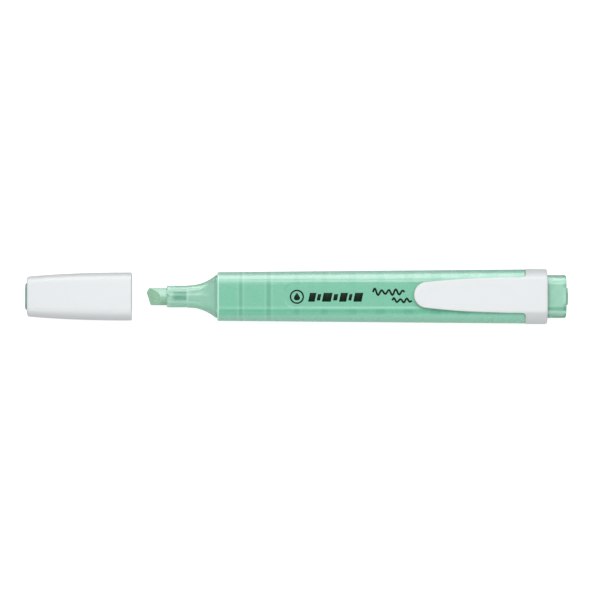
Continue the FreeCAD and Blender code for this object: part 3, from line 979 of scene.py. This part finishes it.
# ---------------------------------------------------------------- end plug
class HIGHLIGHTER_OT_plug(bpy.types.Operator):
    """Builds the hollow stepped plug with the boss on its end"""

    bl_idname = "highlighter.end_plug"
    bl_label = "End Plug"

    BOSS_HEIGHT = 0.55 * MM
    BOSS_ROUND = 0.18 * MM
    BOSS_FOOT = 0.25 * MM
    FOOT_ROUND = 0.2 * MM
    END_ROUND = 0.5 * MM
    WALL = 1.0 * MM

    def execute(self, context):
        size = sizes()
        post = Oval(PLUG_HIGH.y, PLUG_HIGH.z - AXIS_Z)
        seat = Oval(PLUG_HIGH.y - 0.1 * MM, HALF_THICKNESS - 1.9 * MM)
        inside = seat.inset(self.WALL)
        count = len(post.ring(0))
        end_x = PLUG_HIGH.x - self.BOSS_HEIGHT
        round_x = end_x - self.END_ROUND
        shoulder_x = BARREL_HIGH.x + 0.02 * MM
        inner_end_x = end_x - self.WALL
        rings = [inside.inset(0.4 * MM).ring(inner_end_x), inside.ring(inner_end_x - 0.3 * MM)]
        rings += [inside.ring(PLUG_LOW.x), seat.ring(PLUG_LOW.x)]
        rings += [seat.ring(shoulder_x), post.ring(shoulder_x)]
        rings += [post.ring(x) for x in spread(shoulder_x + 0.1 * MM, round_x, 0.6 * MM)]
        for outward, inward in quarter(7)[1:]:
            rings.append(post.inset(inward * self.END_ROUND).ring(round_x + outward * self.END_ROUND))
        rings.append(post.inset(self.END_ROUND + 0.1 * MM).ring(end_x))
        foot = size.boss_radius + self.BOSS_FOOT
        rings.append(between(post.inset(self.END_ROUND).ring(end_x), circle(end_x, foot, count), 0.5))
        rings.append(circle(end_x, foot + 0.1 * MM, count))
        for outward, inward in quarter(4):
            rings.append(circle(end_x + inward * self.FOOT_ROUND, foot - outward * self.FOOT_ROUND, count))
        for outward, inward in quarter(4):
            x = PLUG_HIGH.x - self.BOSS_ROUND * (1 - outward)
            rings.append(circle(x, size.boss_radius - inward * self.BOSS_ROUND, count))
        rings.append(circle(PLUG_HIGH.x, size.boss_radius - self.BOSS_ROUND - 0.1 * MM, count))
        make_piece("plug_shell", skin(rings), clear_tinted_plastic("plug_clear", plug_marks), "pen",
                   ("end_plug",))
        return {"FINISHED"}


# ---------------------------------------------------------------- clip
def arc_points(start, through, end, steps):
    """Points of the circular arc through three 2-D points."""
    a, b = through - start, end - start
    d = 2 * (a.x * b.y - a.y * b.x)
    centre = start + Vector((
        (b.y * a.length_squared - a.y * b.length_squared) / d,
        (a.x * b.length_squared - b.x * a.length_squared) / d))
    radius = (start - centre).length
    first = math.atan2(start.y - centre.y, start.x - centre.x)
    last = math.atan2(end.y - centre.y, end.x - centre.x)
    return [centre + Vector((math.cos(t), math.sin(t))) * radius for t in divide(first, last, steps)]


def towards(start, goal, distance):
    """The point a distance from start on the way to goal, or goal itself where that is nearer."""
    reach = (goal - start).length
    return start.lerp(goal, min(1.0, distance / reach) if reach else 0.0)


class ClipSection:
    """The clip's outer section, addressed by the distance s round it from the crown's middle."""

    FULLNESS = 0.62
    CREASE = 0.5 * MM
    CREASE_STEPS = 12
    SIDE_STEPS = 60
    UNDER_STEPS = 30

    def __init__(self):
        size = sizes()
        self.half_width = RING_HIGH.y
        flat = self.half_width * size.flat_share
        crown = Vector((size.crown_half_width, CROWN_Z))
        side = Vector((self.half_width, 0))
        over = self.half_width - size.crown_half_width
        through = Vector((crown.x + over * self.FULLNESS, CROWN_Z * self.FULLNESS))
        arc = arc_points(crown, through, side, self.SIDE_STEPS)
        before = crown - Vector((self.CREASE, 0))
        joined = next(i for i, point in enumerate(arc) if (point - crown).length > self.CREASE)
        self.points = [Vector((0, CROWN_Z))]
        for share in divide(0, 1, self.CREASE_STEPS):
            self.points.append(before.lerp(crown, share).lerp(crown.lerp(arc[joined], share), share))
        self.points += arc[joined + 1:]
        reach = self.half_width - flat
        for angle in divide(0, QUARTER_TURN, self.UNDER_STEPS)[1:]:
            self.points.append(Vector((flat + reach * math.cos(angle), -HALF_THICKNESS * math.sin(angle))))
        self.points.append(Vector((0, -HALF_THICKNESS)))
        self.lengths = [0.0]
        for a, b in zip(self.points, self.points[1:]):
            self.lengths.append(self.lengths[-1] + (b - a).length)

    @property
    def girth(self):
        """Half the distance round the section."""
        return self.lengths[-1]

    def at(self, s):
        """The outer surface's (y, z from the axis) at s, which is below zero on the -Y side."""
        reach = min(abs(s), self.girth)
        i = next(k for k, length in enumerate(self.lengths[1:]) if reach <= length + 1e-12)
        share = (reach - self.lengths[i]) / (self.lengths[i + 1] - self.lengths[i])
        point = self.points[i].lerp(self.points[i + 1], share)
        return Vector((math.copysign(point.x, s) if s else 0.0, point.y))

    def s_at(self, y):
        """The distance round at which the upper half of the section reaches the width y."""
        for i, (a, b) in enumerate(zip(self.points, self.points[1:])):
            if a.x <= y <= b.x:
                return self.lengths[i] + (y - a.x) / (b.x - a.x) * (self.lengths[i + 1] - self.lengths[i])
        raise ValueError("the clip isn't that wide")

    def depth_point(self, outside, depth, tilt):
        """A point below the outer surface: straight down at tilt 0, towards the axis at tilt 1."""
        angle = math.atan2(outside.x, outside.y) * tilt
        return outside - depth * Vector((math.sin(angle), math.cos(angle)))


class HIGHLIGHTER_OT_clip(bpy.types.Operator):
    """Builds the clip's ring and arm as one moulding"""

    bl_idname = "highlighter.clip"
    bl_label = "Clip"

    FILLET = 1.1 * MM
    FILLET_DROP = 1.9 * MM
    TIP_STEPS = 30
    FLANK_STEPS = 48
    FILLET_STEPS = 16
    RIM_STEPS = 5
    LENGTH_STEPS = 30
    UNDER_ROUND = 0.15 * MM
    RING_END_ROUND = 0.55 * MM
    RING_WALL = 0.85 * MM
    RECESS = 0.5 * MM
    RECESS_WALL = 0.6 * MM
    LIP_FROM_END = 2.0 * MM
    LEAD_IN = 0.5 * MM
    LEAD_SLOPE = math.tan(math.radians(30))
    BEND_AHEAD = 3.0 * MM
    BEND_BEHIND = 0.6 * MM
    BEAD_RADIUS = 1.5 * MM
    BEAD_FROM_TIP = 4.4 * MM
    BEAD_INSIDE_PANEL = 0.7 * MM
    BEAD_END_ROUND = 0.5 * MM
    BEAD_GAP = 0.04 * MM

    def edge_path(self, section):
        """One side of the front edge as (x, s), from the arm's tip to the middle of the ring's underside."""
        size = sizes()
        tip_x, radius, root = ARM_LOW.x, size.arm_tip_radius, ARM_HIGH.y
        centre_x = tip_x + radius
        run = HINGE_X - centre_x
        side_radius = (run ** 2 + root ** 2 - radius ** 2) / (2 * (root - radius))
        side_y = root - side_radius
        turn = math.atan2(-side_y, run)
        plan = [(centre_x - radius * math.cos(angle), radius * math.sin(angle))
                for angle in divide(0, turn, self.TIP_STEPS)]
        first, last = QUARTER_TURN - turn, math.asin(self.FILLET / side_radius)
        for angle in divide(first, last, self.FLANK_STEPS)[1:]:
            plan.append((HINGE_X - side_radius * math.sin(angle), side_y + side_radius * math.cos(angle)))
        path = [(x, section.s_at(y)) for x, y in plan]
        root_s = path[-1][1] + self.FILLET_DROP
        for angle in divide(0, QUARTER_TURN, self.FILLET_STEPS)[1:]:
            path.append((HINGE_X - self.FILLET * (1 - math.sin(angle)),
                         root_s - self.FILLET_DROP * math.cos(angle)))
        return path + [(HINGE_X, s) for s in spread(root_s, section.girth, 0.4 * MM)[1:]]

    def with_inward(self, path):
        """Each point of the edge with the direction into the moulding."""
        count = len(path)
        framed = []
        for i, (x, s) in enumerate(path):
            before, after = path[max(i - 1, 0)], path[min(i + 1, count - 1)]
            tangent = Vector((after[0] - before[0], after[1] - before[1])).normalized()
            framed.append((x, s, tangent.y, -tangent.x))
        framed[0] = (*path[0], 1.0, 0.0)
        framed[-1] = (*path[-1], 1.0, 0.0)
        return framed

    def execute(self, context):
        section = ClipSection()
        half = self.with_inward(self.edge_path(section))
        path = [(x, -s, along, -across) for x, s, along, across in reversed(half[1:-1])] + half
        mesh = skin([self.column(section, *edge) for edge in path], closed=True)
        self.bead(mesh)
        piece = make_piece("clip_moulding", mesh, white_plastic(), None,
                           ("clip_ring", "clip_arm"))
        bend_start, bend_end = HINGE_X + self.BEND_BEHIND, HINGE_X - self.BEND_AHEAD
        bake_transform(piece)
        return {"FINISHED"}

    def underside(self, section, x, s):
        """The inner surface of the arm, and of the shallow recess behind the ring's front edge."""
        outside = section.at(s)
        least = self.RECESS_WALL
        straight = outside.y - (CROWN_Z - sizes().arm_thickness)
        lead = max(0.0, self.LEAD_IN - (x - ARM_LOW.x) * self.LEAD_SLOPE)
        point = section.depth_point(outside, max(straight, least), 1 - ease(straight, least, 2 * least))
        return point + Vector((0, lead))

    def bore(self, section, x, s):
        """The inside of the ring: round the spigot in front, and round the plug behind."""
        outside = section.at(s)
        if x > RING_HIGH.x - self.LIP_FROM_END:
            hole = Oval(PLUG_HIGH.y + 0.02 * MM, PLUG_HIGH.z - AXIS_Z + 0.02 * MM)
        else:
            hole = Oval(section.half_width - self.RING_WALL, HALF_THICKNESS - self.RING_WALL)
        # The distance to the hole's edge in this direction is found by halving.
        angle = math.atan2(outside.x, outside.y)
        direction = Vector((math.sin(angle), math.cos(angle)))
        low, high = 0.0, section.half_width
        for _ in range(24):
            middle = (low + high) / 2
            point = direction * middle
            beyond = max(0.0, abs(point.x) - hole.flat) / (hole.half_width - hole.flat)
            inside = beyond ** 2 + (point.y / hole.half_thickness) ** 2 < 1
            low, high = (middle, high) if inside else (low, middle)
        return direction * low

    def column(self, section, x, s, along, across):
        """One strip: up over the front edge, back along the outside, and forward along the inside."""
        edge, under_edge, rear = sizes().arm_edge_round, self.UNDER_ROUND, self.RING_END_ROUND
        quarter_steps = quarter(self.RIM_STEPS)

        def outer(px, ps, depth=0.0, goal=self.underside):
            """A point of the outer surface, sunk by depth towards an inner one."""
            point = towards(section.at(ps), goal(section, px, ps), depth)
            return Vector((px, point.x, AXIS_Z + point.y))

        def inner(px, ps, goal, lift=0.0):
            """A point of an inner surface, lifted towards the outer one."""
            point = towards(goal(section, px, ps), section.at(ps), lift)
            return Vector((px, point.x, AXIS_Z + point.y))

        strip = []
        for out, inward in reversed(quarter_steps):
            off = under_edge * inward
            strip.append(inner(x + along * off, s + across * off, self.underside, under_edge * (1 - out)))
        for out, inward in quarter_steps:
            off = edge * inward
            strip.append(outer(x + along * off, s + across * off, edge * (1 - out)))
        run_s = s + across * edge
        for px in divide(x + along * edge, RING_HIGH.x - rear, self.LENGTH_STEPS)[1:]:
            strip.append(outer(px, run_s))
        for out, inward in quarter_steps[1:]:
            strip.append(outer(RING_HIGH.x - rear * (1 - out), run_s, rear * inward, self.bore))
        lip_x = RING_HIGH.x - self.LIP_FROM_END
        wall_x = HINGE_X + self.RECESS
        for px in (RING_HIGH.x, lip_x + 0.01 * MM, lip_x, wall_x):
            strip.append(inner(px, run_s, self.bore))
        end_x = x + along * under_edge
        for px in divide(wall_x, end_x + 0.05 * MM * along, self.LENGTH_STEPS):
            share = (px - wall_x) / (end_x - wall_x)
            strip.append(inner(px, run_s + (s + across * under_edge - run_s) * share, self.underside))
        return strip

    def bead(self, mesh):
        """The rounded bar under the tip, which presses on whatever the pen is clipped to."""
        half = sizes().panel_half_width - self.BEAD_INSIDE_PANEL
        soft = self.BEAD_END_ROUND
        lowest = HALF_THICKNESS - sizes().panel_depth + self.BEAD_GAP
        centre = Vector((ARM_LOW.x + self.BEAD_FROM_TIP, 0, AXIS_Z + lowest + self.BEAD_RADIUS))
        rings = []
        for y in spread(-half, half, 0.12 * MM):
            into = max(0.0, (abs(y) - half + soft) / soft)
            radius = self.BEAD_RADIUS - soft * (1 - math.sqrt(max(0.0, 1 - into ** 2)))
            rings.append([centre + Vector((radius * math.cos(angle), y, -radius * math.sin(angle)))
                          for angle in divide(0, math.pi, 18)])
        skin(rings, mesh=mesh)


# ---------------------------------------------------------------- cap
class HIGHLIGHTER_OT_cap(bpy.types.Operator):
    """Builds the cap's shell, which swells towards its mouth, with the hole that the liner's disc fills"""

    bl_idname = "highlighter.cap"
    bl_label = "Cap"

    BULGE = 2.3
    END_ROUND = 0.6 * MM
    MOUTH_ROUND = 0.2 * MM
    MOUTH_CHAMFER = 0.08 * MM
    END_WALL = 1.0 * MM
    DISC = (3.9 * MM, 3.2 * MM)
    DISC_GAP = 0.02 * MM
    DISC_CHAMFER = 0.05 * MM

    def section(self, x):
        """The cap's outer section at x, widest at its mouth."""
        size = sizes()
        share = (x - CAP_LOW.x) / (CAP_HIGH.x - CAP_LOW.x)
        growth = 1 - (1 - share) ** self.BULGE
        width = size.cap_end_half_width + growth * (CAP_HIGH.y - size.cap_end_half_width)
        mouth = CAP_HIGH.z - AXIS_Z
        thickness = size.cap_end_half_thickness + growth * (mouth - size.cap_end_half_thickness)
        return Oval(width, thickness)

    def execute(self, context):
        size = sizes()
        low, high, wall = CAP_LOW.x, CAP_HIGH.x, size.cap_wall
        hole = Oval(*self.DISC).inset(-self.DISC_GAP)
        inside_x = low + self.END_WALL
        rings = [hole.ring(inside_x), hole.ring(low + self.DISC_CHAMFER)]
        rings.append(hole.inset(-self.DISC_CHAMFER).ring(low))
        face = self.section(low).inset(self.END_ROUND).ring(low)
        rings += [between(hole.ring(low), face, share) for share in (0.5, 0.97)]
        for out, inward in quarter(8):
            x = low + self.END_ROUND * inward
            rings.append(self.section(x).inset(self.END_ROUND * (1 - out)).ring(x))
        rings += [self.section(x).ring(x)
                  for x in spread(low + self.END_ROUND, high - self.MOUTH_ROUND, 0.7 * MM)[1:]]
        for out, inward in quarter(4)[1:]:
            x = high - self.MOUTH_ROUND * (1 - out)
            rings.append(self.section(x).inset(self.MOUTH_ROUND * inward).ring(x))
        rings.append(self.section(high).inset(wall - self.MOUTH_CHAMFER).ring(high))
        rings.append(self.section(high).inset(wall).ring(high - self.MOUTH_CHAMFER))
        rings += [self.section(x).inset(wall).ring(x) for x in spread(high - 0.4 * MM, inside_x, 1.4 * MM)]
        make_piece("cap_shell_outer", skin(rings, closed=True), white_plastic(), "cap",
                   ("cap_shell",))
        return {"FINISHED"}


class HIGHLIGHTER_OT_cap_liner(bpy.types.Operator):
    """Builds the cap's inner cup, its fins and flange, and the mint disc that shows in the closed end"""

    bl_idname = "highlighter.cap_liner"
    bl_label = "Cap Liner"

    WALL = 0.6 * MM
    FLOOR = 0.9 * MM
    CUP_LENGTH = 14.35 * MM
    CUP_CHAMFER = 0.3 * MM
    LIP_CHAMFER = 0.1 * MM
    RUNNING_GAP = 0.06 * MM
    STEM_RADIUS = 1.2 * MM
    FLANGE = 0.8 * MM
    FLANGE_REACH = 0.45 * MM
    DISC_ROUND = 0.2 * MM
    FIN_HALF_THICKNESS = 0.4 * MM
    FIN_REACH = 3.0 * MM
    OVERLAP = 0.1 * MM

    def execute(self, context):
        disc = Oval(*HIGHLIGHTER_OT_cap.DISC)
        flange = disc.inset(-self.FLANGE_REACH)
        count = len(disc.ring(0))
        face_x, edge = LINER_LOW.x, self.DISC_ROUND
        rings = [between(circle(face_x, 0.4 * MM, count), disc.inset(edge).ring(face_x), share)
                 for share in (0.0, 0.6, 0.97)]
        for out, inward in quarter(5):
            rings.append(disc.inset(edge * (1 - out)).ring(face_x + edge * inward))
        flange_x = CAP_LOW.x + HIGHLIGHTER_OT_cap.END_WALL + 0.02 * MM
        stem_x = flange_x + self.FLANGE
        rings += [disc.ring(flange_x), flange.ring(flange_x), flange.ring(stem_x)]
        back_x = LINER_HIGH.x - self.CUP_LENGTH
        rings += [circle(x, self.STEM_RADIUS, count) for x in (stem_x, back_x)]
        rings += [circle(x, radius, count) for x, radius in self.cup(back_x)]
        mesh = skin(rings)
        self.fins(mesh, stem_x, back_x)
        make_piece("cap_liner_cup", mesh, liner_plastic(), "cap", ("cap_liner",))
        return {"FINISHED"}

    def cup(self, back_x):
        """The cup's outline as (x, radius): out at its back, along to its mouth, and in to its floor."""
        mouth_x, floor_x = LINER_HIGH.x, back_x + self.FLOOR
        outer = sizes().collar_radius + self.RUNNING_GAP + self.WALL
        inner = outer - self.WALL
        lip, corner = self.LIP_CHAMFER, self.CUP_CHAMFER
        outline = [(back_x, outer - corner), (back_x + corner, outer)]
        outline += [(x, outer) for x in spread(floor_x, mouth_x - lip, 2 * MM)]
        outline += [(mouth_x, outer - lip), (mouth_x, inner + lip), (mouth_x - lip, inner)]
        return outline + [(floor_x, inner)]

    def fins(self, mesh, start_x, end_x):
        """Crossed fins that carry the cup from the closed end."""
        half, reach = self.FIN_HALF_THICKNESS, self.FIN_REACH
        for across, up in ((reach, half), (half, reach)):
            corners = ((-across, -up), (across, -up), (across, up), (-across, up))
            skin([[Vector((x, y, AXIS_Z + z)) for y, z in corners]
                  for x in (start_x - self.OVERLAP, end_x + self.OVERLAP)], mesh=mesh)


# ---------------------------------------------------------------- printed marks
class HIGHLIGHTER_OT_print(bpy.types.Operator):
    """Prints plain black shapes, with no lettering, on the sunk panel"""

    bl_idname = "highlighter.print_marks"
    bl_label = "Printed Marks"

    THICKNESS = 0.03 * MM
    SUNK = 0.01 * MM
    MIDDLE_Y = -0.4 * MM
    BADGE_RADIUS = 1.88 * MM
    BADGE_STROKE = 0.44 * MM
    DROP_HALF_WIDTH = 1.3 * MM
    DROP_HALF_HEIGHT = 1.15 * MM
    BAR_HALF_HEIGHT = 1.3 * MM
    BAR_LEAN = 0.55 * MM
    # Each bar's width and the gap after it in millimetres, and its height as a share of the tallest.
    BARS = ((1.9, 0.6, 1.0), (1.0, 0.55, 0.72), (2.6, 0.65, 1.0), (1.2, 0.6, 0.72), (2.1, 0.6, 1.0),
            (0.9, 0.6, 0.72), (2.4, 0.0, 1.0))
    WAVE_STROKE = 0.56 * MM

    def execute(self, context):
        mesh = bmesh.new()
        self.badge(mesh, 23.5 * MM, -0.05 * MM)
        self.bars(mesh, 26.8 * MM, -0.2 * MM)
        self.wave(mesh, 45.9 * MM, 55.2 * MM, 1.3 * MM, turns=4.5, amplitude=1.15 * MM)
        self.wave(mesh, 51.6 * MM, 57.3 * MM, -1.15 * MM, turns=3.0, amplitude=0.8 * MM)
        make_piece("printed_marks", mesh, printed_ink(), "pen")
        return {"FINISHED"}

    def on_panel(self, point, height):
        """A place on the panel, at a height above the print's underside."""
        low = AXIS_Z + HALF_THICKNESS - sizes().panel_depth - self.SUNK
        return Vector((SHOULDER_X + point[0], point[1] + self.MIDDLE_Y, low + height))

    def blot(self, mesh, outline):
        """A filled shape with the print's thickness."""
        skin([[self.on_panel(point, height) for point in outline] for height in (0.0, self.THICKNESS)],
             mesh=mesh)

    def stroke(self, mesh, path, width):
        """A line of even width along a path, with the print's thickness."""
        points = [Vector(point) for point in path]
        rings = []
        for i, point in enumerate(points):
            before, after = points[max(i - 1, 0)], points[min(i + 1, len(points) - 1)]
            along = (after - before).normalized()
            across = Vector((-along.y, along.x)) * width / 2
            left, right = point + across, point - across
            rings.append([self.on_panel(left, 0.0), self.on_panel(left, self.THICKNESS),
                          self.on_panel(right, self.THICKNESS), self.on_panel(right, 0.0)])
        skin(rings, mesh=mesh)

    def badge(self, mesh, x, y):
        """A ring with an ink drop inside it."""
        steps = 2 * sizes().print_segments
        turns = divide(0, FULL_TURN, steps)
        self.stroke(mesh, [(x + self.BADGE_RADIUS * math.cos(a), y + self.BADGE_RADIUS * math.sin(a))
                           for a in turns], self.BADGE_STROKE)
        self.blot(mesh, [(x + self.DROP_HALF_WIDTH * math.sin(a) * math.sin(a / 2) ** 1.6,
                          y + 0.1 * MM + self.DROP_HALF_HEIGHT * math.cos(a)) for a in turns[:-1]])

    def bars(self, mesh, x, y):
        """A bold row of slanted bars, like marks that a highlighter leaves."""
        for width, gap, height in self.BARS:
            half, wide, slant = self.BAR_HALF_HEIGHT * height, width * MM, self.BAR_LEAN * height
            low, high = y - half, y + half
            self.blot(mesh, [(x, low), (x + wide, low), (x + wide + slant, high), (x + slant, high)])
            x += (width + gap) * MM

    def wave(self, mesh, start, end, y, turns, amplitude):
        """A loose running wave, like a test stroke of a pen."""
        path = []
        for share in divide(0, 1, 3 * sizes().print_segments):
            height = amplitude * (1 - 0.35 * share) * (0.75 + 0.25 * math.cos(share * 9))
            path.append((start + (end - start) * share, y + height * math.sin(share * turns * FULL_TURN)))
        self.stroke(mesh, path, self.WAVE_STROKE)


# ---------------------------------------------------------------- stage
class HIGHLIGHTER_OT_stage(bpy.types.Operator):
    """Adds the camera, the softboxes, the sky and the pale floor"""

    bl_idname = "highlighter.stage"
    bl_label = "Stage"

    FLOOR_HALF_WIDTH = 3.0
    FLOOR_DROP = 0.02 * MM
    SENSOR_WIDTH = 36
    AIM = Vector((-0.19 * MM, 0.15 * MM, AXIS_Z))

    def execute(self, context):
        setting = stage()
        self.floor(setting)
        self.camera(context.scene, setting)
        self.sky(context.scene, setting)
        self.light("overhead_softbox", setting.key_power, place=(0.0, 0.20, 0.55), extent=(0.7, 0.3))
        self.light("fill_softbox", setting.fill_power, place=(0.0, -0.50, 0.25), extent=(0.8, 0.3))
        card = self.light("gloss_card", setting.gloss_power, place=(0.0, 0.50, 0.09), extent=(1.0, 0.56))
        card.visible_diffuse = False
        card.visible_transmission = False
        context.scene.view_settings.view_transform = "Standard"
        return {"FINISHED"}

    def floor(self, setting):
        """A wide pale floor that mostly lights itself and takes hardly any shadow."""
        graph = Graph("pale_floor")
        material = graph.surface(
            base_color=graph.mix(graph.grain(0.01, 2.0), (0.46, 0.46, 0.46), (0.44, 0.44, 0.44)),
            roughness=graph.grain(0.05) * 0.1 + 0.7,
            normal=graph.bump(graph.grain(1.5), 0.002 * MM),
            emission_color=(1.0, 1.0, 1.0, 1.0),
            emission_strength=setting.floor_glow,
        )
        mesh = bmesh.new()
        bmesh.ops.create_grid(mesh, x_segments=2, y_segments=2, size=self.FLOOR_HALF_WIDTH)
        floor = add_object("floor", mesh, material)
        floor.location.z = -self.FLOOR_DROP
        floor.visible_diffuse = False
        floor.visible_glossy = False
        floor.visible_shadow = False

    def camera(self, scene, setting):
        """A camera far above the pen, leaning a little off the vertical."""
        data = bpy.data.cameras.new("camera")
        data.sensor_width = self.SENSOR_WIDTH
        data.lens = data.sensor_width * setting.camera_distance / setting.view_width
        camera = bpy.data.objects.new("camera", data)
        back = Vector((0, -math.sin(setting.camera_tilt), math.cos(setting.camera_tilt)))
        camera.location = self.AIM + back * setting.camera_distance
        camera.rotation_euler = (-back).to_track_quat("-Z", "Y").to_euler()
        scene.collection.objects.link(camera)
        scene.camera = camera

    def sky(self, scene, setting):
        """Even white light from all round."""
        world = bpy.data.worlds.new("studio")
        world.use_nodes = True
        background = world.node_tree.nodes["Background"]
        background.inputs["Color"].default_value = (1, 1, 1, 1)
        background.inputs["Strength"].default_value = setting.sky
        scene.world = world

    def light(self, name, power, place, extent):
        """A soft rectangular light that faces the pen and isn't seen itself."""
        data = bpy.data.lights.new(name, "AREA")
        data.shape = "RECTANGLE"
        data.size, data.size_y = extent
        data.energy = power
        lamp = bpy.data.objects.new(name, data)
        lamp.visible_camera = False
        lamp.location = place
        lamp.rotation_euler = (-Vector(place)).to_track_quat("-Z", "Y").to_euler()
        bpy.context.scene.collection.objects.link(lamp)
        return lamp


# ---------------------------------------------------------------- panel
OPERATORS = (
    HIGHLIGHTER_OT_barrel,
    HIGHLIGHTER_OT_front,
    HIGHLIGHTER_OT_nib,
    HIGHLIGHTER_OT_plug,
    HIGHLIGHTER_OT_clip,
    HIGHLIGHTER_OT_cap,
    HIGHLIGHTER_OT_cap_liner,
    HIGHLIGHTER_OT_print,
    HIGHLIGHTER_OT_stage,
)
SETTINGS = {
    "highlighter_sizes": HighlighterSizes,
    "highlighter_finish": HighlighterFinish,
    "highlighter_stage": HighlighterStage,
}


class HIGHLIGHTER_PT_panel(bpy.types.Panel):
    """The highlighter's settings and build steps"""

    bl_label = "Pocket Highlighter"
    bl_idname = "HIGHLIGHTER_PT_panel"
    bl_space_type = "VIEW_3D"
    bl_region_type = "UI"
    bl_category = "Highlighter"

    def draw(self, context):
        for name, group in SETTINGS.items():
            box = self.layout.box()
            for key in group.__annotations__:
                box.prop(getattr(context.scene, name), key)
        for operator in OPERATORS:
            self.layout.operator(operator.bl_idname)


CLASSES = (*SETTINGS.values(), *OPERATORS, HIGHLIGHTER_PT_panel)


def register():
    for item in CLASSES:
        bpy.utils.register_class(item)
    for name, group in SETTINGS.items():
        setattr(bpy.types.Scene, name, PointerProperty(type=group))


def unregister():
    for name in SETTINGS:
        delattr(bpy.types.Scene, name)
    for item in reversed(CLASSES):
        bpy.utils.unregister_class(item)


def main():
    register()
    for operator in OPERATORS:
        group, name = operator.bl_idname.split(".")
        getattr(getattr(bpy.ops, group), name)()


if __name__ == "__main__":
    main()
